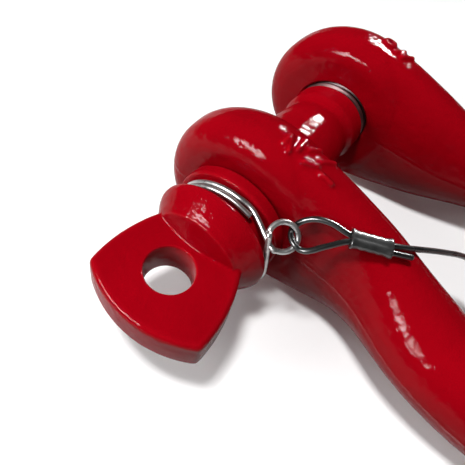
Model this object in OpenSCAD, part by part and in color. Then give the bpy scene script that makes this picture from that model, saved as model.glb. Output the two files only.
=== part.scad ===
/* [Body] */
// Clear width between the two eyes
jaw_gap = 76; // [70:1:84]
// Width of each eye along the pin
eye_w = 38; // [34:1:42]
// Outer radius of each eye
eye_r = 54; // [50:0.5:58]
// Distance from the pin's axis to the middle of the crown's arc
crown_x = 154; // [146:1:162]
// How far each leg's centreline leans outwards by the crown
leg_flare = 25.5; // [20:0.5:28]
// Half height of the bar at the crown
bar_h = 23; // [21:0.5:24]
// Half width of the bar at the crown
bar_w = 22.5; // [21:0.5:24]
// Radius of the plain hole in the eye next to the pin's head
plain_bore_r = 26.5; // [26:0.1:27.5]

/* [Pin] */
// Radius of the pin's shank
pin_r = 25; // [24:0.1:25.2]
// Radius over the thread
thread_r = 24.5; // [23.5:0.1:24.6]
// Radius of the relief just before the thread's shoulder
relief_r = 22.6; // [21:0.1:23.5]
// Radius of the head's domed collar
collar_r = 34.6; // [33:0.1:36]
// Radius of the flange that bears on the eye
flange_r = 32.8; // [31:0.1:34]
// Radius at the bottom of the groove that holds the wire ring
groove_r = 26.6; // [25.5:0.1:26.8]
// Thickness of the fishtail handle
tail_t = 21; // [18:0.5:23]
// Half width of the fishtail at its two corners
tail_w = 34.2; // [32:0.1:36]
// Radius of the hole in the fishtail
tail_hole_r = 13; // [11:0.1:14]
// How far the pin is turned from having its fishtail level with the bow
handle_turn = 2; // [0:0.5:20]

/* [Lanyard] */
// Diameter of the wire that the captive ring is coiled from
wire_d = 2.9; // [2.4:0.1:3]
// Diameter of the coated wire rope
rope_d = 3; // [2.4:0.1:3]
// Length of each crimped sleeve
sleeve_l = 19; // [15:0.5:20]

/* [Hidden] */
$fn = 96;
paint = [0.66, 0.02, 0.05];
steel = [0.72, 0.73, 0.74];
jacket = [0.05, 0.05, 0.055];

// Places along the pin, from the middle of the gap; the head is on the minus side
face_in = jaw_gap / 2;
face_out = face_in + eye_w;
flange_y = -face_out - 0.3;
groove_y1 = flange_y - 8.7;
groove_y2 = groove_y1 - 12;
face_y = groove_y2 - 19;
thread_y = face_in - 4;
tip_y = face_out + 4;

// The shackle lies on a flat surface: its eyes and its crown touch it
bend_r = face_in + eye_w / 2 + leg_flare;
lie_angle = asin((eye_r - bar_h) / (crown_x + bend_r));

function smooth(t) = let (u = min(1, max(0, t))) u * u * (3 - 2 * u);
function mix(a, b, t) = a + (b - a) * t;
function unit(v) = v / norm(v);
function last(v) = v[len(v) - 1];

module lie(turned = 0) { rotate([0, lie_angle - turned, 0]) children(); }

// A closed skin over equal rings of points, with flat ends
module skin(rings) {
    n = len(rings[0]);
    sides = [for (i = [0:len(rings) - 2], j = [0:n - 1], t = [0, 1])
        let (a = i * n + j, b = i * n + (j + 1) % n)
        t == 0 ? [a, b, b + n] : [a, b + n, a + n]];
    first_end = [for (j = [1:n - 2]) [0, j + 1, j]];
    other_end = [for (j = [1:n - 2]) let (k = (len(rings) - 1) * n) [k, k + j, k + j + 1]];
    polyhedron([for (r = rings, p = r) p], concat(sides, first_end, other_end));
}

// A smooth curve through hand-set points, steps pieces between each two
function curve(p, steps) = [for (i = [0:len(p) - 2], k = [0:steps - 1])
    let (a = p[max(0, i - 1)], b = p[i], c = p[i + 1], d = p[min(len(p) - 1, i + 2)], t = k / steps)
    0.5 * (2 * b + (c - a) * t + (2 * a - 5 * b + 4 * c - d) * t * t + (3 * b - a - 3 * c + d) * t * t * t),
    last(p)];

function heading(p, i) = unit(p[min(len(p) - 1, i + 1)] - p[max(0, i - 1)]);
function square_to(v, t) = unit(v - (v * t) * t);

// A round tube along a curve; its rings are carried on without twist
module tube(p, r, sides) {
    start = heading(p, 0);
    side = abs(start.z) < 0.8 ? [0, 0, 1] : [1, 0, 0];
    normals = [for (i = 0, n = square_to(side, start); i < len(p);
        i = i + 1, n = i < len(p) ? square_to(n, heading(p, i)) : n) n];
    skin([for (i = [0:len(p) - 1]) let (t = heading(p, i), n = normals[i], m = cross(t, n))
        [for (k = [0:sides - 1]) p[i] + r * (cos(360 * k / sides) * n + sin(360 * k / sides) * m)]]);
}

// ---- bow: one forged bar, from eye to eye round the crown ----
eye_edge = 16.5;
mouth = 1.8;
taper_len = 130;
spread_len = 120;
square_len = 94;
flare_start = 60;
// A leg is widest where it leans outwards most
swell = 4;
swell_at = 115;
swell_len = 25;
leg_narrowing = 1.7;
bar_sides = 24;
far_bore_r = thread_r + 0.05;

function flare_way(x) = min(1, max(0, (x - flare_start) / (crown_x - flare_start)));
function leg_y(x) = face_in + eye_w / 2 + leg_flare * smooth(flare_way(x));
function bar_half_h(s) = mix(eye_r - 0.4, bar_h, smooth(s / taper_len));
function bar_half_w(s) = mix(eye_w / 2 - 0.6, bar_w - leg_narrowing, smooth(s / spread_len))
    + swell * exp(-pow((s - swell_at) / swell_len, 2)) + leg_narrowing * smooth((s - crown_x) / 50);
function bar_power(s) = 2 + 1.2 * (1 - smooth(s / square_len));
function rounded(v, power) = sign(v) * pow(abs(v), 2 / power);

// One cross-section, s along the bar, out pointing away from the bow's middle
function section(s, place, out) = [for (k = [0:bar_sides - 1]) let (a = 360 * (k + 0.5) / bar_sides)
    place + out * bar_half_w(s) * rounded(cos(a), bar_power(s))
    + [0, 0, bar_half_h(s) * rounded(sin(a), bar_power(s))]];

leg_steps = [4, 14, 25, 36, 47, 58, 69, 80, 91, 102, 113, 124, 134, 144, crown_x];
function leg_lean(x) = let (u = flare_way(x)) atan(6 * leg_flare / (crown_x - flare_start) * u * (1 - u));
function leg_section(x, side) = section(x, [x, side * leg_y(x), 0], [-sin(leg_lean(x)), side * cos(leg_lean(x)), 0]);
function crown_section(a) = let (s = crown_x + bend_r * PI / 180 * min(90 + a, 90 - a), out = [cos(a), sin(a), 0])
    section(s, [crown_x, 0, 0] + bend_r * out, out);

module bar() {
    near = [for (x = leg_steps) leg_section(x, -1)];
    crown = [for (a = [-78:12:78]) crown_section(a)];
    far = [for (i = [len(leg_steps) - 1:-1:0]) leg_section(leg_steps[i], 1)];
    // The ring order runs the same way round on both legs
    skin(concat([for (r = near) r], [for (r = crown) r], [for (r = far) r]));
}

// Half of an eye's outline: round rims with a short flat between
function eye_rim(c, from) = [for (a = [0:15:90])
    c + eye_edge * [sin(from + a), cos(from + a)]];
module eye(side) {
    y0 = side * (face_in + eye_w / 2);
    rim = eye_r - eye_edge;
    half = eye_w / 2 - eye_edge;
    translate([0, y0, 0]) rotate([90, 0, 0]) rotate_extrude()
        polygon(concat([[0, eye_w / 2]], eye_rim([rim, half], 0), eye_rim([rim, -half], 90), [[0, -eye_w / 2]]));
}

// A hole along the pin through one eye, opened out a little at both faces
module eye_hole(side, r) {
    low = side > 0 ? face_in : -face_out;
    translate([0, low - 1, 0]) rotate([-90, 0, 0]) cylinder(h = eye_w + 2, r = r);
    for (flip = [0, 1]) translate([0, flip ? low + eye_w : low, 0]) rotate([flip ? 90 : -90, 0, 0])
        translate([0, 0, -0.01]) cylinder(h = mouth, r1 = r + mouth, r2 = r);
}

// Plain raised bars forged on top of each eye
mark_gap = 7.5;
module marks(side, count, x0, y0) {
    for (i = [0:count - 1]) let (x = x0 + i * mark_gap, y = side * (y0 + 0.3 * i * i))
        translate([x, y, sqrt(pow(eye_r, 2) - pow(min(x, 30), 2)) - 7.5 - 0.12 * x])
            rotate([0, 8 + 0.5 * x, 0]) cube([3, 9, 8], center = true);
}

module bow() {
    color(paint) lie() difference() {
        union() {
            bar();
            eye(-1);
            eye(1);
            marks(-1, 4, 8, face_in + 11);
            marks(1, 3, 8, face_in + 24);
        }
        eye_hole(-1, plain_bore_r);
        eye_hole(1, far_bore_r);
    }
}

// ---- screw pin: fishtail, domed collar, groove, flange, shank and thread ----
edge_r = 1.2;
tail_edge = 3.5;
side_arc = 84;
end_arc = 61;
corner_y = face_y - 39;
hole_y = corner_y + 22;
// The fishtail sits a little askew and to one side on the head
tail_skew = 2;
tail_off = 0.8;

module pin_profile() {
    polygon([
        [0, face_y - 4], [10, face_y], [26, face_y + 3.6], [26.6, face_y + 5],
        // domed collar, down to its sharp back edge
        [28.6, groove_y2 - 12], [30.4, groove_y2 - 9.4], [32.2, groove_y2 - 7], [33.6, groove_y2 - 4.8],
        [34.4, groove_y2 - 3], [collar_r, groove_y2 - 1.6], [collar_r - 0.4, groove_y2],
        // groove and flange
        [groove_r + 2, groove_y2], [groove_r + 0.6, groove_y2 + 0.6], [groove_r, groove_y2 + 2],
        [groove_r, groove_y1 - 2], [groove_r + 0.6, groove_y1 - 0.6], [groove_r + 2, groove_y1],
        [flange_r - 1.5, groove_y1], [flange_r - 0.4, groove_y1 + 0.4], [flange_r, groove_y1 + 1.5],
        [flange_r, flange_y - 1.5], [flange_r - 0.4, flange_y - 0.4], [flange_r - 1.5, flange_y],
        // shank, relief, shoulder band and thread
        [pin_r, flange_y], [pin_r, -2], [pin_r - 0.4, 4], [pin_r - 1.2, 9], [relief_r, 14.5],
        [relief_r + 0.3, 16], [pin_r - 0.5, 18.5], [pin_r + 0.3, 20.5],
        [pin_r + 0.3, thread_y - 0.8], [thread_r - 0.3, thread_y], [thread_r, thread_y + 1.2],
        [thread_r, tip_y - 2.5], [thread_r - 2.5, tip_y], [0, tip_y]]);
}

// Points round an arc from one point to another, on the left of the way
function arc(p, q, r, n) = let (m = (p + q) / 2, h = norm(q - p) / 2, d = unit(q - p),
    c = m + sqrt(r * r - h * h) * [-d.y, d.x], a0 = atan2(p.y - c.y, p.x - c.x), half = asin(h / r))
    [for (i = [0:n]) c + r * [cos(a0 + 2 * half * i / n), sin(a0 + 2 * half * i / n)]];

root = [22.5, groove_y2 - 4.5];
// A point of the outline, turned a little about the hole and moved to one side
function askew(p) = let (q = p - [0, hole_y])
    [tail_off + q.x * cos(tail_skew) - q.y * sin(tail_skew), hole_y + q.x * sin(tail_skew) + q.y * cos(tail_skew)];

module tail_outline(inset) {
    right = [tail_w - inset, corner_y + 0.4 * inset];
    left = [-right.x, right.y];
    r0 = [root.x - inset, root.y];
    l0 = [-r0.x, r0.y];
    outline = concat(arc(left, right, end_arc, 12), arc(right, r0, side_arc, 8), arc(l0, left, side_arc, 8));
    polygon([for (p = outline) askew(p)]);
}

module tail() {
    difference() {
        hull() for (a = [0:30:90])
            linear_extrude(tail_t - 2 * tail_edge * (1 - sin(a)), center = true)
                tail_outline(tail_edge * (1 - cos(a)));
        translate([0, hole_y, 0]) cylinder(h = tail_t + 2, r = tail_hole_r, center = true);
    }
}

module screw_pin() {
    color(paint) lie(handle_turn) union() {
        rotate([-90, 0, 0]) rotate_extrude() pin_profile();
        tail();
    }
}

// ---- pin ring: a loose coil of wire in the groove, with an eyelet in its middle ----
coil_r = 31;
coil_c = [2.3, -1.6];
front_y = groove_y2 + 6;
rear_y = groove_y1 - 2.4;
eyelet_c = [32.7, -90, 28];
eyelet_r = 7.4;
eyelet_rise = 1.65;
// The eyelet's own directions: right and up across its face, and its axis
eyelet_u = unit([0.75, 0.65, 0.10]);
eyelet_n = unit(cross(eyelet_u, [-0.56, 0.54, 0.63]));
eyelet_v = cross(eyelet_n, eyelet_u);

function coil(a, y) = [coil_c.x + coil_r * cos(a), y, coil_c.y + coil_r * sin(a)];
function eyelet(a) = eyelet_c + eyelet_r * (cos(a) * eyelet_u + sin(a) * eyelet_v)
    + mix(eyelet_rise, -eyelet_rise, (190 - a) / 330) * eyelet_n;

module pin_ring() {
    front = [for (a = [68:20:348]) coil(a, front_y)];
    loop = [for (a = [190:-30:-140]) eyelet(a)];
    rear = [for (a = [68:20:288]) coil(a, rear_y)];
    color(steel) lie() tube(curve(concat(front, loop, rear), 2), wire_d / 2, 8);
}

// ---- lanyard: one coated wire rope with an eye at each end ----
// Route of the rope's centreline; the surface that it lies on is at z = -54
rope_route = [
    // cut end, first sleeve and the eye through the ring's eyelet
    [87.6, -63, 25.6], [80, -67.8, 27.3], [74.1, -70.5, 27.8], [67.7, -73.5, 28.2], [61.9, -76.3, 28.7],
    [54.8, -83.3, 25.8], [49.4, -88.6, 22.9], [45.8, -89.8, 21.7], [42.3, -89.8, 22.6], [39.4, -87.9, 23.2],
    [37.5, -85.1, 23.8], [37.1, -81.7, 24.3], [39.6, -77.8, 27.2], [45, -75.5, 30.6], [52, -73.8, 31.2],
    // first sleeve again, over the leg and down inside the bow
    [60.5, -73, 29.7], [66.4, -70.3, 29.3], [72.9, -67.4, 28.8], [78.7, -64.7, 28.3], [85.2, -57.7, 24.7],
    [92, -48.9, 20], [99.5, -38.8, 14], [108, -27.5, 6], [116, -18, -5], [122, -14, -19],
    [127, -13, -34], [134, -15, -46],
    // slack lying inside the bow
    [144, -19, -51.6], [156, -26, -52.2], [169, -34, -52.2], [183, -35, -52.2], [194, -26, -52.2],
    [194, -12, -52.2], [183, -3, -52.2], [169, -2, -52.2], [158, 2, -52.2], [152, 10, -51.9],
    // second sleeve and the eye round the crown
    [151.5, 18.9, -51.2], [152.9, 21.4, -50.3], [156.2, 27.1, -48.2],
    [159.5, 32.7, -46.1], [162.8, 38.4, -44],
    [164.4, 41.1, -43.3], [171, 53, -47], [184.3, 76.8, -50.6], [195.8, 95.3, -38],
    [197.8, 98.8, -24], [192, 89, -3], [180, 69.5, 0.5], [170, 54, -14], [161.6, 43.2, -42.8], [159.8, 40.2, -44],
    [156.5, 34.5, -46.1], [153.2, 28.9, -48.2], [149.9, 23.2, -50.3], [147, 18.3, -51.6]];

module lanyard_rope() {
    color(jacket) tube(curve(rope_route, 2), rope_d / 2, 8);
}

// A sleeve is two barrels pressed together over the two strands
barrel_r = 3.3;
strand_gap = 3.5;
strand_room = 0.75;
module sleeve(from, to, across) {
    d = unit(to - from);
    a = (from + to) / 2 - d * sleeve_l / 2;
    e = across * strand_gap / 2;
    turn = [0, acos(d.z), atan2(d.y, d.x)];
    difference() {
        union() for (s = [-1, 1]) translate(a + s * e) rotate(turn) cylinder(h = sleeve_l, r = barrel_r);
        for (s = [-1, 1]) translate(a + s * e - d) rotate(turn) cylinder(h = sleeve_l + 2, r = rope_d / 2 + strand_room);
    }
}

module ring_sleeve() {
    color(jacket) sleeve([61.4, -74.4, 29.3], [79.2, -66.3, 27.8], unit([-0.357, 0.892, 0.274]));
}

module bow_sleeve() {
    color(jacket) sleeve([151.4, 22.3, -50.3], [161.3, 39.3, -44], unit([0.864, -0.503, 0]));
}

bow();
screw_pin();
pin_ring();
lanyard_rope();
ring_sleeve();
bow_sleeve();
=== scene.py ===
import math

import bmesh
import bpy
import numpy as np
from mathutils import Matrix, Vector, noise


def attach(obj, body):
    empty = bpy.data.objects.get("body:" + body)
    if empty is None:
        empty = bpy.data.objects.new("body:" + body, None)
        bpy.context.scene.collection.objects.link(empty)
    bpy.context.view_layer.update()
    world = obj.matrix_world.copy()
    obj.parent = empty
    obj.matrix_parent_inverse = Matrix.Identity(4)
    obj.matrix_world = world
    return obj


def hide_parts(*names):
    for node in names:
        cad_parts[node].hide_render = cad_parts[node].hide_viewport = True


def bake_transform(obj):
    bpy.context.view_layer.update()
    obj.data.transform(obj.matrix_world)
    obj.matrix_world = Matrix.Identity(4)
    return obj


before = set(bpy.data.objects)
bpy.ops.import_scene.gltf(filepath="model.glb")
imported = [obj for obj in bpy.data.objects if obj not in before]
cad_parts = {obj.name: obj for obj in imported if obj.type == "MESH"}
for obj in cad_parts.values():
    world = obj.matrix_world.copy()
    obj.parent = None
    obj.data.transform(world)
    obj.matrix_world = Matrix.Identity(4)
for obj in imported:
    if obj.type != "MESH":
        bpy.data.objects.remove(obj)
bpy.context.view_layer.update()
MM = 0.001

# ---------------------------------------------------------------- camera
RIGHT = Vector((0.75877, 0.65135, 0.00273))
UP = Vector((-0.46989, 0.54447, 0.69481))
BACK = Vector((0.45108, -0.52848, 0.71919))
EYE = Vector((83.4, -229.5, 211.2)) * MM

camera_data = bpy.data.cameras.new("camera")
camera_data.lens = 37.0
camera_data.sensor_width = 36.0
camera_data.shift_x = 0.1344
camera_data.shift_y = -0.1344
camera_data.clip_start = 0.01
camera_data.clip_end = 20
camera = bpy.data.objects.new("camera", camera_data)
camera.matrix_world = Matrix((
    (RIGHT.x, UP.x, BACK.x, EYE.x), (RIGHT.y, UP.y, BACK.y, EYE.y),
    (RIGHT.z, UP.z, BACK.z, EYE.z), (0, 0, 0, 1)))
bpy.context.scene.collection.objects.link(camera)
bpy.context.scene.camera = camera

# ---------------------------------------------------------------- sizes, mm
GAP, EYE_W, EYE_R = 76.0, 38.0, 54.0
CROWN_X, FLARE, BAR_H, BAR_W = 154.0, 25.5, 23.0, 22.5
FACE_IN, FACE_OUT = GAP / 2, GAP / 2 + EYE_W
BEND_R = FACE_IN + EYE_W / 2 + FLARE
LIE = math.asin((EYE_R - BAR_H) / (CROWN_X + BEND_R))
FLANGE_Y = -FACE_OUT - 0.3
GROOVE_1 = FLANGE_Y - 8.7
GROOVE_2 = GROOVE_1 - 12
FACE_Y = GROOVE_2 - 19
CORNER_Y = FACE_Y - 39
HOLE_Y = CORNER_Y + 22
THREAD_Y, TIP_Y = FACE_IN - 4, FACE_OUT + 4
TURN = math.radians(2)
ROPE_R, WIRE_R = 1.5, 1.45
PLAIN_BORE_R, THREAD_BORE_R = 26.5, 24.55


def smooth(t):
    u = min(1.0, max(0.0, t))
    return u * u * (3 - 2 * u)


def mix(a, b, t):
    return a + (b - a) * t


def lie(p, turned=0.0):
    """A place in the bow's own frame, laid down onto the floor; turned swings it round the pin."""
    c, d = math.cos(LIE - turned), math.sin(LIE - turned)
    return Vector((p[0] * c + p[2] * d, p[1], -p[0] * d + p[2] * c))


def curve(points, steps):
    p = [Vector(v) for v in points]
    out = []
    for i in range(len(p) - 1):
        a, b, c, d = p[max(0, i - 1)], p[i], p[i + 1], p[min(len(p) - 1, i + 2)]
        for k in range(steps):
            t = k / steps
            out.append(0.5 * (2 * b + (c - a) * t + (2 * a - 5 * b + 4 * c - d) * t * t
                              + (3 * b - a - 3 * c + d) * t ** 3))
    out.append(p[-1])
    return out


def even(points, step):
    """The same line in equal steps."""
    lengths = [0.0]
    for a, b in zip(points, points[1:]):
        lengths.append(lengths[-1] + (b - a).length)
    count = max(2, round(lengths[-1] / step))
    out, j = [], 0
    for k in range(count + 1):
        want = lengths[-1] * k / count
        while j < len(points) - 2 and lengths[j + 1] < want:
            j += 1
        share = (want - lengths[j]) / max(1e-9, lengths[j + 1] - lengths[j])
        out.append(points[j].lerp(points[j + 1], min(1.0, share)))
    return out, lengths[-1]


# ---------------------------------------------------------------- meshes
def make(name, verts, faces, scale=MM):
    mesh = bpy.data.meshes.new(name)
    mesh.from_pydata([tuple(Vector(v) * scale) for v in verts], [], faces)
    mesh.update()
    obj = bpy.data.objects.new(name, mesh)
    bpy.context.scene.collection.objects.link(obj)
    return obj


def skin(name, rings, closed=False):
    n = len(rings[0])
    verts = [p for r in rings for p in r]
    faces = []
    count = len(rings) if closed else len(rings) - 1
    for i in range(count):
        for j in range(n):
            a, b = i * n + j, i * n + (j + 1) % n
            c, d = (i + 1) % len(rings) * n + (j + 1) % n, (i + 1) % len(rings) * n + j
            faces.append((a, b, c, d))
    if not closed:
        faces.append(tuple(range(n - 1, -1, -1)))
        faces.append(tuple((len(rings) - 1) * n + j for j in range(n)))
    return make(name, verts, faces)


def frames(points):
    """A direction and two sideways directions at each point, carried on without twist."""
    out = []
    side = None
    for i, p in enumerate(points):
        t = (points[min(len(points) - 1, i + 1)] - points[max(0, i - 1)]).normalized()
        if side is None:
            side = Vector((0, 0, 1)) if abs(t.z) < 0.8 else Vector((1, 0, 0))
        side = (side - side.dot(t) * t).normalized()
        out.append((t, side.copy(), t.cross(side)))
    return out


def tube(name, points, radius, sides, relief=None, round_ends=0.0):
    """radius in mm; relief(turn, along) gives a factor on it."""
    rings = []
    along = 0.0
    last = len(points) - 1
    for i, (p, (t, u, v)) in enumerate(zip(points, frames(points))):
        along += (p - points[i - 1]).length if i else 0
        ring = []
        for k in range(sides):
            a = 2 * math.pi * k / sides
            r = radius * (relief(a, along) if relief else 1)
            ring.append(p + r * (math.cos(a) * u + math.sin(a) * v))
        rings.append(ring)
    if round_ends:
        for end, tip in ((0, -1), (last, 1)):
            p, (t, u, v) = points[end], frames(points)[end]
            shrink = 1 - round_ends / radius * 0.8
            small = [p + t * tip * round_ends + (q - p) * shrink for q in rings[end if tip < 0 else -1]]
            if tip < 0:
                rings.insert(0, small)
            else:
                rings.append(small)
    return skin(name, rings)


def join(name, objects):
    bpy.ops.object.select_all(action="DESELECT")
    for o in objects:
        o.select_set(True)
    bpy.context.view_layer.objects.active = objects[0]
    bpy.ops.object.join()
    objects[0].name = name
    return objects[0]


def outward(obj):
    bm = bmesh.new()
    bm.from_mesh(obj.data)
    bmesh.ops.recalc_face_normals(bm, faces=bm.faces)
    bm.to_mesh(obj.data)
    bm.free()
    return obj


def apply_modifiers(obj):
    graph = bpy.context.evaluated_depsgraph_get()
    mesh = bpy.data.meshes.new_from_object(obj.evaluated_get(graph))
    obj.modifiers.clear()
    obj.data = mesh
    return obj


def fuse(obj, voxel, rounds, factor=0.5):
    """Melts overlapping closed shells into one skin and softens it, as a forging is."""
    m = obj.modifiers.new("fuse", "REMESH")
    m.mode = "VOXEL"
    m.voxel_size = voxel * MM
    m.adaptivity = 0
    s = obj.modifiers.new("soften", "SMOOTH")
    s.factor = factor
    s.iterations = rounds
    return apply_modifiers(obj)


def cut(obj, tool):
    m = obj.modifiers.new("cut", "BOOLEAN")
    m.operation = "DIFFERENCE"
    m.object = tool
    m.solver = "EXACT"
    apply_modifiers(obj)
    bpy.data.objects.remove(tool)
    return obj


def revolve(name, profile, sides=192, turned=0.0):
    """A closed solid from (radius, y) points; radius 0 at both ends."""
    rings = []
    for r, y in profile:
        rings.append([lie((max(r, 0.01) * math.cos(a), y, max(r, 0.01) * math.sin(a)), turned)
                      for a in (2 * math.pi * k / sides for k in range(sides))])
    return skin(name, rings)


def drill(name, r, y0, y1, mouth=0.0, turned=0.0):
    profile = [(0, y0 - 2), (r + mouth + 2 * (mouth > 0), y0 - 2), (r + mouth, y0), (r, y0 + mouth),
               (r, y1 - mouth), (r + mouth, y1), (r + mouth + 2 * (mouth > 0), y1 + 2), (0, y1 + 2)]
    return outward(revolve(name, profile, 128, turned))


def roughen(obj, deep, size, seed, fine=0.0, fine_size=1.0):
    """Presses shallow forging waves into the surface; nothing grows outwards."""
    mesh = obj.data
    count = len(mesh.vertices)
    co = np.zeros(count * 3)
    no = np.zeros(count * 3)
    mesh.vertices.foreach_get("co", co)
    mesh.vertex_normals.foreach_get("vector", no)
    co, no = co.reshape(-1, 3), no.reshape(-1, 3)
    shift = Vector((seed, seed * 2.1, seed * 0.7))
    push = np.zeros(count)
    for i in range(count):
        p = Vector(co[i]) / MM
        push[i] = deep * (0.5 + 0.5 * noise.noise(p / size + shift))
        if fine:
            push[i] += fine * (0.5 + 0.5 * noise.noise(p / fine_size - shift))
    co -= no * (push * MM)[:, None]
    mesh.vertices.foreach_set("co", co.ravel())
    mesh.update()
    return obj


def shade(obj):
    obj.data.polygons.foreach_set("use_smooth", [True] * len(obj.data.polygons))
    return obj


# ---------------------------------------------------------------- lanyard
ROUTE = [
    (87.6, -63, 25.6), (80, -67.8, 27.3), (74.1, -70.5, 27.8), (67.7, -73.5, 28.2), (61.9, -76.3, 28.7),
    (54.8, -83.3, 25.8), (49.4, -88.6, 22.9), (45.8, -89.8, 21.7), (42.3, -89.8, 22.6), (39.4, -87.9, 23.2),
    (37.5, -85.1, 23.8), (37.1, -81.7, 24.3), (39.6, -77.8, 27.2), (45, -75.5, 30.6), (52, -73.8, 31.2),
    (60.5, -73, 29.7), (66.4, -70.3, 29.3), (72.9, -67.4, 28.8), (78.7, -64.7, 28.3), (85.2, -57.7, 24.7),
    (92, -48.9, 20), (99.5, -38.8, 14), (108, -27.5, 6), (116, -18, -5), (122, -14, -19),
    (127, -13, -34), (134, -15, -46),
    (144, -19, -51.6), (156, -26, -52.2), (169, -34, -52.2), (183, -35, -52.2), (194, -26, -52.2),
    (194, -12, -52.2), (183, -3, -52.2), (169, -2, -52.2), (158, 2, -52.2), (152, 10, -51.9),
    (151.5, 18.9, -51.2), (152.9, 21.4, -50.3), (156.2, 27.1, -48.2),
    (159.5, 32.7, -46.1), (162.8, 38.4, -44),
    (164.4, 41.1, -43.3), (171, 53, -47), (184.3, 76.8, -50.6), (195.8, 95.3, -38),
    (197.8, 98.8, -24), (192, 89, -3), (180, 69.5, 0.5), (170, 54, -14),
    (161.6, 43.2, -42.8), (159.8, 40.2, -44),
    (156.5, 34.5, -46.1), (153.2, 28.9, -48.2), (149.9, 23.2, -50.3), (147, 18.3, -51.6)]


def strands(turn, along):
    """Six strands showing faintly through the coating."""
    return 0.985 + 0.02 * abs(math.cos(3 * (turn - 2 * math.pi * along / 21)))


rope_line, rope_length = even(curve(ROUTE, 12), 0.8)
rope = outward(tube("rope", rope_line, ROPE_R, 24, strands, 0.35))


def crimped_sleeve(name, start, end, across):
    """Two barrels pressed together at the waist, flared at both ends, with a mouth round each strand."""
    s, e, w = Vector(start), Vector(end), Vector(across).normalized()
    d = (e - s).normalized()
    w = (w - w.dot(d) * d).normalized()
    up = d.cross(w)
    half = 9.4
    mid = (s + e) / 2
    rings = []
    stations = [(-half, 0.80), (-half, 0.97), (-half + 0.5, 1.03), (-half + 1.2, 1.0), (-half + 2.4, 0.93)]
    stations += [(x, 0.90 + 0.02 * math.cos(x * 1.7)) for x in np.linspace(-half + 3.4, half - 3.4, 15)]
    stations += [(half - 2.4, 0.93), (half - 1.2, 1.0), (half - 0.5, 1.03), (half, 0.97), (half, 0.80)]
    for x, k in stations:
        ring = []
        for i in range(64):
            a = 2 * math.pi * i / 64
            waist = 1 - 0.16 * (1 - abs(math.cos(a))) ** 2 * (1 if k < 0.95 else 0.5)
            ring.append(mid + d * x + w * (4.85 * k * math.copysign(abs(math.cos(a)) ** 0.9, math.cos(a)))
                        + up * (3.1 * k * waist * math.copysign(abs(math.sin(a)) ** 0.8, math.sin(a))))
        rings.append(ring)
    body = outward(skin(name, rings))
    for side in (-1, 1):
        c = mid + w * 1.75 * side
        body = cut(body, outward(tube("bore", [c - d * 12, c + d * 12], 1.62, 32)))
    return body


ring_sleeve = crimped_sleeve("ring_sleeve_crimp",
                             (61.4, -74.4, 29.3), (79.2, -66.3, 27.8), (-0.357, 0.892, 0.274))
bow_sleeve = crimped_sleeve("bow_sleeve_crimp",
                            (151.4, 22.3, -50.3), (161.3, 39.3, -44), (0.864, -0.503, 0))

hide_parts("lanyard_rope")
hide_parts("ring_sleeve")
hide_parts("bow_sleeve")
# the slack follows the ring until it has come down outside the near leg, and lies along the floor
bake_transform(rope)
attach(bow_sleeve, "bow")

# ---------------------------------------------------------------- wire ring
COIL_R, COIL_C = 31.0, (2.3, -1.6)
FRONT_Y, REAR_Y = GROOVE_2 + 6, GROOVE_1 - 2.4
LOOP_C, LOOP_R, LOOP_RISE = Vector((32.7, -90, 28)), 7.4, 1.65
LOOP_U = Vector((0.75, 0.65, 0.10)).normalized()
LOOP_N = LOOP_U.cross(Vector((-0.56, 0.54, 0.63))).normalized()
LOOP_V = LOOP_N.cross(LOOP_U)


def coil(deg, y):
    a = math.radians(deg)
    return Vector((COIL_C[0] + COIL_R * math.cos(a), y, COIL_C[1] + COIL_R * math.sin(a)))


def loop(deg):
    a = math.radians(deg)
    rise = mix(LOOP_RISE, -LOOP_RISE, (190 - deg) / 330)
    return LOOP_C + LOOP_R * (math.cos(a) * LOOP_U + math.sin(a) * LOOP_V) + rise * LOOP_N


wire_points = [coil(a, FRONT_Y) for a in range(68, 349, 20)] + [loop(a) for a in range(190, -141, -30)]
wire_points += [coil(a, REAR_Y) for a in range(68, 289, 20)]
wire_line, _ = even([lie(p) for p in curve(wire_points, 16)], 0.7)
wire = outward(tube("ring_wire", wire_line, WIRE_R, 24, None, 0.3))
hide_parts("pin_ring")
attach(wire, "ring")
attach(ring_sleeve, "ring")

# ---------------------------------------------------------------- bow
TAPER, SPREAD, SQUARE, FLARE_X = 130.0, 120.0, 94.0, 60.0
EYE_EDGE = 16.5


def flare_way(x):
    return min(1.0, max(0.0, (x - FLARE_X) / (CROWN_X - FLARE_X)))


def leg_y(x):
    return FACE_IN + EYE_W / 2 + FLARE * smooth(flare_way(x))


def section(s, place, out, sides=72):
    high = mix(EYE_R - 0.6, BAR_H, smooth(s / TAPER)) - 0.2
    wide = mix(EYE_W / 2 - 0.6, BAR_W - 1.7, smooth(s / SPREAD)) + 4 * math.exp(-((s - 115) / 25) ** 2)
    wide += 1.7 * smooth((s - CROWN_X) / 50) - 0.2
    power = 2 + 1.2 * (1 - smooth(s / SQUARE))
    ring = []
    for k in range(sides):
        a = 2 * math.pi * k / sides
        c, d = math.cos(a), math.sin(a)
        across = Vector(out) * wide * math.copysign(abs(c) ** (2 / power), c)
        above = Vector((0, 0, high * math.copysign(abs(d) ** (2 / power), d)))
        ring.append(lie(Vector(place) + across + above))
    return ring


def leg_section(x, side):
    u = flare_way(x)
    lean = math.atan(6 * FLARE / (CROWN_X - FLARE_X) * u * (1 - u))
    return section(x, (x, side * leg_y(x), 0), (-math.sin(lean), side * math.cos(lean), 0))


def crown_section(deg):
    a = math.radians(deg)
    out = (math.cos(a), math.sin(a), 0)
    return section(CROWN_X + BEND_R * math.radians(min(90 + deg, 90 - deg)),
                   (CROWN_X + BEND_R * out[0], BEND_R * out[1], 0), out)


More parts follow.
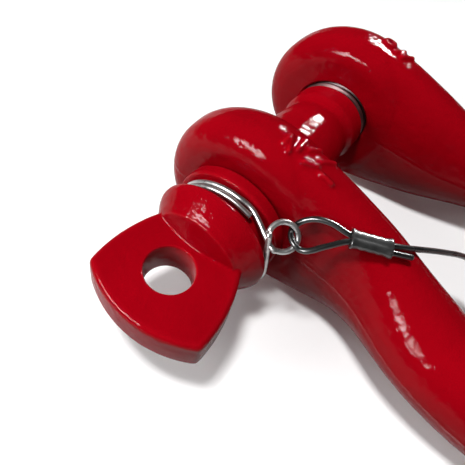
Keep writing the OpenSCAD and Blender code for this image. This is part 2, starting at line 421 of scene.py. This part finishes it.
def eye(side):
    rim, low = EYE_R - EYE_EDGE - 0.1, FACE_IN + 0.05
    profile = [(0, low)]
    profile += [(rim + EYE_EDGE * math.sin(math.radians(a)), low + EYE_EDGE * (1 - math.cos(math.radians(a))))
                for a in range(0, 91, 6)]
    profile += [(r, FACE_IN + EYE_W + FACE_IN - y) for r, y in reversed(profile)]
    return outward(revolve("eye", [(r, side * y) for r, y in profile], 160))


def pill(a, b, r):
    """A short raised stroke with round ends."""
    rings = []
    d = (b - a).normalized()
    line = [(a - d * r * 0.9, 0.45), (a - d * r * 0.5, 0.85), (a, 1.0),
            (b, 1.0), (b + d * r * 0.5, 0.85), (b + d * r * 0.9, 0.45)]
    side = (Vector((0, 0, 1)) - d * d.z).normalized()
    other = d.cross(side)
    for p, k in line:
        rings.append([p + r * k * (math.cos(t) * side + math.sin(t) * other)
                      for t in (2 * math.pi * i / 16 for i in range(16))])
    return outward(skin("stroke", rings))


def top_of(x, y):
    """Height of the bow's upper skin over a place on its mid-plane, by the formulas it is built from."""
    side = 1 if y > 0 else -1
    across = abs(y) - (FACE_IN + EYE_W / 2)
    reach = max(0.0, abs(across) - (EYE_W / 2 - EYE_EDGE))
    disc = EYE_R - EYE_EDGE + math.sqrt(max(0.0, EYE_EDGE ** 2 - reach ** 2))
    round_top = math.sqrt(max(1.0, disc ** 2 - x ** 2))
    high = mix(EYE_R - 0.6, BAR_H, smooth(x / TAPER))
    power = 2 + 1.2 * (1 - smooth(x / SQUARE))
    share = min(0.98, abs(across) / (EYE_W / 2))
    bar_top = high * (1 - share ** power) ** (1 / power) if x > 4 else 0
    return max(round_top, bar_top)


def stroke(x0, y0, x1, y1, r=1.8):
    a = lie((x0, y0, top_of(x0, y0) + 0.2))
    b = lie((x1, y1, top_of(x1, y1) + 0.2))
    return pill(a, b, r)


legs = [4, 9, 14] + list(range(20, int(CROWN_X), 6)) + [CROWN_X]
rings = [leg_section(x, -1) for x in legs] + [crown_section(a) for a in range(-86, 87, 4)]
rings += [leg_section(x, 1) for x in reversed(legs)]
shells = [outward(skin("bar", rings)), eye(-1), eye(1)]
# plain raised strokes in place of forged lettering
near_marks = [(7, -62, 7, -55), (11, -64, 8, -57), (14, -60, 14, -51), (18, -55, 22, -50), (20, -63, 26, -60),
              (26, -56, 31, -50), (30, -62, 36, -62)]
far_marks = [(15, 57, 19, 63), (19, 63, 20, 56), (20, 56, 25, 63)]
ring_mark = [(9 + 3.2 * math.cos(a), 62 + 3.6 * math.sin(a)) for a in (math.pi * i / 4 for i in range(9))]
far_marks += [(*a, *b) for a, b in zip(ring_mark, ring_mark[1:])]
shells += [stroke(*m) for m in near_marks + far_marks]
bow = join("bow_body", shells)
bow = fuse(bow, 0.75, 7)
bow = roughen(bow, 0.45, 26, 3.3, 0.10, 5)
bow = cut(bow, drill("hole", PLAIN_BORE_R, -FACE_OUT, -FACE_IN, 1.8))
bow = cut(bow, drill("hole", THREAD_BORE_R, FACE_IN, FACE_OUT, 1.8))
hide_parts("bow")
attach(bow, "bow")

# ---------------------------------------------------------------- screw pin
PIN_R, THREAD_R, RELIEF_R, COLLAR_R, FLANGE_R, GROOVE_R = 25.0, 24.5, 22.6, 34.6, 32.8, 26.6
TAIL_T, TAIL_W, TAIL_EDGE = 21.0, 34.2, 3.4
TAIL_HOLE_R, TAIL_OFF, TAIL_SKEW = 13.0, 0.8, math.radians(2)
END_ARC, SIDE_ARC = 61, 84

profile = [(0, FACE_Y - 4), (10, FACE_Y), (26, FACE_Y + 3.6), (26.6, FACE_Y + 5), (28.6, GROOVE_2 - 12),
           (30.4, GROOVE_2 - 9.4), (32.2, GROOVE_2 - 7), (33.6, GROOVE_2 - 4.8), (34.4, GROOVE_2 - 3),
           (COLLAR_R, GROOVE_2 - 1.6), (COLLAR_R - 0.3, GROOVE_2), (GROOVE_R + 2, GROOVE_2),
           (GROOVE_R + 0.6, GROOVE_2 + 0.6), (GROOVE_R, GROOVE_2 + 2), (GROOVE_R, GROOVE_1 - 2),
           (GROOVE_R + 0.6, GROOVE_1 - 0.6), (GROOVE_R + 2, GROOVE_1), (FLANGE_R - 1.5, GROOVE_1),
           (FLANGE_R - 0.4, GROOVE_1 + 0.4), (FLANGE_R, GROOVE_1 + 1.5), (FLANGE_R, FLANGE_Y - 1.5),
           (FLANGE_R - 0.4, FLANGE_Y - 0.4), (FLANGE_R - 1.5, FLANGE_Y), (PIN_R, FLANGE_Y), (PIN_R, -2),
           (PIN_R - 0.4, 4), (PIN_R - 1.2, 9), (RELIEF_R, 14.5), (RELIEF_R + 0.3, 16), (PIN_R - 0.5, 18.5),
           (PIN_R + 0.3, 20.5), (PIN_R + 0.3, THREAD_Y - 1.2), (THREAD_R - 1.2, THREAD_Y), (21.2, THREAD_Y + 1),
           (21.2, TIP_Y - 1.2), (20.4, TIP_Y - 0.4), (0, TIP_Y - 0.4)]


def arc(p, q, r, count):
    m, chord = (p + q) / 2, (q - p)
    d = chord.normalized()
    c = m + math.sqrt(r * r - (chord.length / 2) ** 2) * Vector((-d.y, d.x))
    start, half = math.atan2(p.y - c.y, p.x - c.x), math.asin(chord.length / 2 / r)
    return [c + r * Vector((math.cos(start + 2 * half * i / count), math.sin(start + 2 * half * i / count)))
            for i in range(count + 1)]


def tail_ring(inset, z):
    """The fishtail's outline, drawn in by inset, at height z through its thickness."""
    corner = Vector((TAIL_W + 0.5 - 0.8 * inset, CORNER_Y + 0.4 + 0.4 * inset))
    root = Vector((22.5 - inset, GROOVE_2 - 4.5))
    left, left_root = Vector((-corner.x, corner.y)), Vector((-root.x, root.y))
    outline = arc(left, corner, END_ARC, 40)[:-1] + arc(corner, root, SIDE_ARC, 30)
    outline += arc(left_root, left, SIDE_ARC, 30)[:-1]
    outline = [(outline[i - 1] + 2 * p + outline[(i + 1) % len(outline)]) / 4 for i, p in enumerate(outline)]
    c, d = math.cos(TAIL_SKEW), math.sin(TAIL_SKEW)
    out = []
    for p in outline:
        q = p - Vector((0, HOLE_Y))
        out.append(lie((TAIL_OFF + q.x * c - q.y * d, HOLE_Y + q.x * d + q.y * c, z), TURN))
    return out


slab = []
for a in range(-90, 91, 15):
    t = math.radians(a)
    height = math.copysign(TAIL_T / 2 - TAIL_EDGE * (1 - abs(math.sin(t))), a) if a else 0
    slab.append(tail_ring(TAIL_EDGE * (1 - math.cos(t)), height))
tail = outward(skin("tail", slab))


def tail_hole():
    """The round hole with both its mouths broken."""
    sides, hw = 96, TAIL_T / 2
    half = [(hw - 1.4, 0.0), (hw - 0.5, 0.25), (hw, 0.9), (hw + 2, 2.4)]
    rings = []
    for z, wider in [(-z, w) for z, w in reversed(half)] + half:
        r = TAIL_HOLE_R + wider
        rings.append([lie((r * math.cos(t), HOLE_Y + r * math.sin(t), z), TURN)
                      for t in (2 * math.pi * i / sides for i in range(sides))])
    return outward(skin("tail_hole", rings))


pin = join("screw_pin_body", [outward(revolve("shaft", profile, 192, TURN)), tail])
pin = fuse(pin, 0.6, 8)
pin = roughen(pin, 0.30, 20, 8.1, 0.08, 4)
pin = cut(pin, tail_hole())
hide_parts("screw_pin")
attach(pin, "pin")

PITCH = 6.0
thread_rings = []
y = THREAD_Y + 1.0
while y <= TIP_Y + 0.001:
    ring = []
    for k in range(120):
        a = 2 * math.pi * k / 120
        wave = abs(((y / PITCH - k / 120) % 1.0) * 2 - 1)
        r = mix(21.0, THREAD_R - 0.1, min(1.0, max(0.0, wave * 1.35 - 0.18)))
        r = min(r, 21.6 + (TIP_Y - y) * 1.2)
        ring.append(lie((r * math.cos(a), y, r * math.sin(a)), TURN))
    thread_rings.append(ring)
    y += 0.4
thread = outward(skin("screw_pin_thread", thread_rings))
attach(thread, "pin")

for piece in (rope, ring_sleeve, bow_sleeve, wire, bow, pin, thread):
    shade(piece)


# ---------------------------------------------------------------- finishes
def material(name, colour, rough, metal=0.0, coat=0.0, coat_rough=0.05):
    m = bpy.data.materials.new(name)
    m.use_nodes = True
    n = m.node_tree.nodes
    s = n["Principled BSDF"]
    s.inputs["Base Color"].default_value = (*colour, 1)
    s.inputs["Roughness"].default_value = rough
    s.inputs["Metallic"].default_value = metal
    s.inputs["Coat Weight"].default_value = coat
    s.inputs["Coat Roughness"].default_value = coat_rough
    return m, m.node_tree, s


def feed(tree, shader, **values):
    """feed(tree, shader, Base_Color=value) joins a value to the shader's socket of that name."""
    for name, value in values.items():
        tree.links.new(value, shader.inputs[name.replace("_", " ")])


def grey_ramp(tree, value, low, high):
    return ramp(tree, value, [(low[0], (low[1],) * 3), (high[0], (high[1],) * 3)])


def place(tree):
    return tree.nodes.new("ShaderNodeTexCoord").outputs["Object"]


def noise_of(tree, vector, scale, detail=2.0, rough=0.5):
    n = tree.nodes.new("ShaderNodeTexNoise")
    n.inputs["Scale"].default_value = scale
    n.inputs["Detail"].default_value = detail
    n.inputs["Roughness"].default_value = rough
    tree.links.new(vector, n.inputs["Vector"])
    return n.outputs["Fac"]


def ramp(tree, value, stops):
    r = tree.nodes.new("ShaderNodeValToRGB")
    tree.links.new(value, r.inputs["Fac"])
    while len(r.color_ramp.elements) < len(stops):
        r.color_ramp.elements.new(0.5)
    for e, (pos, colour) in zip(r.color_ramp.elements, stops):
        e.position = pos
        e.color = (*colour, 1) if len(colour) == 3 else colour
    return r.outputs["Color"]


def sums(tree, kind, a, b, clamp=False):
    m = tree.nodes.new("ShaderNodeMath")
    m.operation = kind
    m.use_clamp = clamp
    for socket, v in zip(m.inputs, (a, b)):
        if isinstance(v, (int, float)):
            socket.default_value = v
        else:
            tree.links.new(v, socket)
    return m.outputs[0]


def blend_colours(tree, factor, a, b):
    m = tree.nodes.new("ShaderNodeMix")
    m.data_type = "RGBA"
    tree.links.new(factor, m.inputs["Factor"])
    for socket, v in ((m.inputs[6], a), (m.inputs[7], b)):
        if isinstance(v, tuple):
            socket.default_value = (*v, 1)
        else:
            tree.links.new(v, socket)
    return m.outputs[2]


def bump(tree, height, distance, strength=1.0, under=None):
    b = tree.nodes.new("ShaderNodeBump")
    b.inputs["Strength"].default_value = strength
    b.inputs["Distance"].default_value = distance
    tree.links.new(height, b.inputs["Height"])
    if under is not None:
        tree.links.new(under, b.inputs["Normal"])
    return b.outputs["Normal"]


def pointiness(tree):
    return tree.nodes.new("ShaderNodeNewGeometry").outputs["Pointiness"]


def seam(tree, vector, half):
    """1 on the forging's parting plane, falling to 0 at half a seam's width (metres) from it."""
    split = tree.nodes.new("ShaderNodeVectorMath")
    split.operation = "DOT_PRODUCT"
    tree.links.new(vector, split.inputs[0])
    split.inputs[1].default_value = (math.sin(LIE), 0, math.cos(LIE))
    away = sums(tree, "ABSOLUTE", split.outputs["Value"], 0)
    return sums(tree, "SUBTRACT", 1, sums(tree, "DIVIDE", away, half), True)


def paint(name, colour, dark, seamed=False):
    m, t, s = material(name, colour, 0.42, 0, 0.42, 0.06)
    s.inputs["Coat IOR"].default_value = 1.25
    s.inputs["Specular IOR Level"].default_value = 0.0
    v = place(t)
    cloud = noise_of(t, v, 22, 3)
    tint = ramp(t, cloud, [(0.3, dark), (0.7, colour)])
    # painted highlight: sharp convex edges (high pointiness) are blended towards a lighter, slightly pinkish
    # red, standing in for light caught on the edges
    edge_highlight_mask = ramp(t, pointiness(t), [(0.50, (0, 0, 0)), (0.58, (1, 1, 1))])
    edge_highlight_red = tuple(min(1, c * 1.35 + 0.004) for c in colour)
    feed(t, s, Base_Color=blend_colours(t, edge_highlight_mask, tint, edge_highlight_red))
    feed(t, s, Roughness=grey_ramp(t, noise_of(t, v, 60, 3), (0.35, 0.36), (0.7, 0.52)))
    waves = bump(t, noise_of(t, v, 95, 2), 0.0012, 0.5)
    waves = bump(t, noise_of(t, v, 330, 2), 0.00025, 0.6, waves)
    feed(t, s, Normal=waves)
    orange = bump(t, noise_of(t, v, 75, 2), 0.0011, 0.5)
    orange = bump(t, noise_of(t, v, 300, 3), 0.00035, 0.9, orange)
    if seamed:
        orange = bump(t, seam(t, v, 0.0018), 0.0006, 0.5, orange)
    feed(t, s, Coat_Normal=orange)
    return m


bow_paint = paint("bow_red_paint", (0.285, 0.0003, 0.0046), (0.23, 0.0002, 0.0038), True)
pin_paint = paint("pin_red_paint", (0.295, 0.0003, 0.0048), (0.245, 0.0002, 0.004))

thread_metal, t, s = material("thread_metal", (0.05, 0.012, 0.012), 0.42, 0.3)
v = place(t)
oiled = [(0.35, (0.03, 0.006, 0.007)), (0.62, (0.09, 0.03, 0.03))]
feed(t, s, Base_Color=ramp(t, noise_of(t, v, 90, 4), oiled))
feed(t, s, Normal=bump(t, noise_of(t, v, 500, 3), 0.0002, 0.5))

steel, t, s = material("ring_steel", (0.66, 0.66, 0.66), 0.3, 0.88)
v = place(t)
bright = [(0.3, (0.26, 0.26, 0.26)), (0.65, (0.52, 0.51, 0.50))]
feed(t, s, Base_Color=ramp(t, noise_of(t, v, 120, 4), bright))
feed(t, s, Roughness=grey_ramp(t, noise_of(t, v, 260, 3), (0.3, 0.26), (0.7, 0.42)))
feed(t, s, Normal=bump(t, noise_of(t, v, 900, 2), 0.00012, 0.4))


def black(name, rough, deep, light):
    m, t, s = material(name, (deep,) * 3, rough, 0, 0.35, 0.08)
    v = place(t)
    feed(t, s, Base_Color=grey_ramp(t, noise_of(t, v, 150, 3), (0.3, deep), (0.75, light)))
    feed(t, s, Roughness=grey_ramp(t, noise_of(t, v, 80, 3), (0.3, rough * 0.8), (0.7, rough * 1.3)))
    feed(t, s, Normal=bump(t, noise_of(t, v, 600, 3), 0.0002, 0.5))
    return m


rope_black = black("rope_black", 0.30, 0.003, 0.007)
sleeve_black = black("sleeve_black", 0.34, 0.012, 0.03)

finishes = [
    (bow, bow_paint, "bow_paint"), (pin, pin_paint, "pin_paint"), (thread, thread_metal, "pin_paint"),
    (wire, steel, "ring_wire"), (rope, rope_black, "rope_jacket"),
    (ring_sleeve, sleeve_black, "sleeve_black"), (bow_sleeve, sleeve_black, "sleeve_black")]
for piece, finish, slot in finishes:
    piece.data.materials.clear()
    piece.data.materials.append(finish)

# ---------------------------------------------------------------- floor and light
FLOOR_Z, FLOOR_HALF = -54.05, 3000
corners = [(x * FLOOR_HALF, y * FLOOR_HALF, FLOOR_Z) for x, y in ((-1, -1), (1, -1), (1, 1), (-1, 1))]
floor = make("floor", corners, [(0, 1, 2, 3)])
floor_finish, t, s = material("floor_white", (0.93, 0.93, 0.93), 0.9)
s.inputs["Specular IOR Level"].default_value = 0.0
floor.data.materials.append(floor_finish)
floor.visible_diffuse = False


def lamp(name, toward, distance, size, energy, aim=(60, 0, 0), glossy=True, diffuse=True, size_y=None):
    data = bpy.data.lights.new(name, "AREA")
    data.shape = "RECTANGLE"
    data.size = size
    data.size_y = size_y or size
    data.energy = energy
    obj = bpy.data.objects.new(name, data)
    d = Vector(toward).normalized()
    obj.location = Vector(aim) * MM + d * distance
    obj.rotation_mode = "QUATERNION"
    obj.rotation_quaternion = (-d).to_track_quat("-Z", "Y")
    obj.visible_glossy = glossy
    obj.visible_diffuse = diffuse
    bpy.context.scene.collection.objects.link(obj)
    return obj


lamp("key", (-0.06, -0.24, 0.97), 3.0, 0.40, 76, glossy=False)
lamp("low_front", (-0.60, -0.66, 0.45), 1.6, 0.80, 16, glossy=False)
lamp("soft_front", (-0.36, -0.76, 0.54), 0.9, 0.46, 19, diffuse=False, size_y=0.18)
lamp("strip_back", (0.0, 0.80, 0.62), 0.9, 0.30, 27, diffuse=False, size_y=0.10)

world = bpy.data.worlds.new("world")
bpy.context.scene.world = world
world.use_nodes = True
tree = world.node_tree
background = tree.nodes["Background"]
background.inputs["Color"].default_value = (1, 1, 1, 1)
path = tree.nodes.new("ShaderNodeLightPath")
seen = tree.nodes.new("ShaderNodeMath")
seen.operation = "MULTIPLY_ADD"
tree.links.new(path.outputs["Is Glossy Ray"], seen.inputs[0])
seen.inputs[1].default_value = -0.16
seen.inputs[2].default_value = 0.20
tree.links.new(seen.outputs[0], background.inputs["Strength"])

bpy.context.scene.view_settings.view_transform = "Standard"
bpy.context.scene.view_settings.look = "None"
